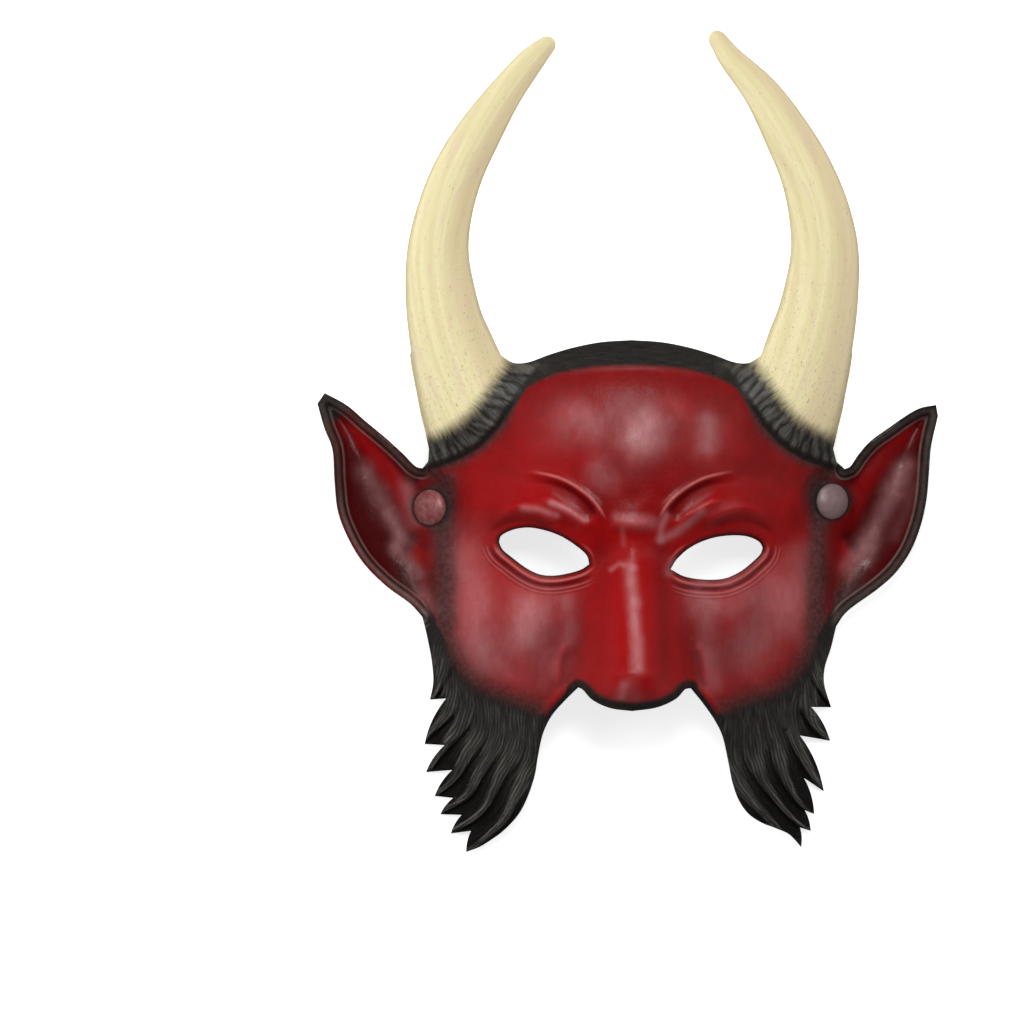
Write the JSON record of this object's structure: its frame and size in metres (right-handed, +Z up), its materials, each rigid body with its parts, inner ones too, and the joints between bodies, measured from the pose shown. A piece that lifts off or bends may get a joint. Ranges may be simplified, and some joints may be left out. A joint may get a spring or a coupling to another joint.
{
  "type": "costume mask",
  "caption": "Horned devil half mask of moulded, painted foam, with open eyes, cupped pointed ears, a hooked nose, a parted beard and snap buttons at the temples.",
  "frame": {"origin": "on the surface that the mask lies on, under the middle of its box", "axes": "+X to the right of someone looking down on the face, +Y from the beard to the horn tips, +Z up out of the face"},
  "size_m": [0.264, 0.3506, 0.0838],
  "materials": {
    "painted_foam": "satin",
    "snap_metal": "gloss"
  },
  "bodies": {
    "root": {"mask": "painted_foam", "snap_cap_left": "snap_metal", "snap_cap_right": "snap_metal", "snap_stud_left": "snap_metal", "snap_stud_right": "snap_metal"}
  },
  "joints": []
}
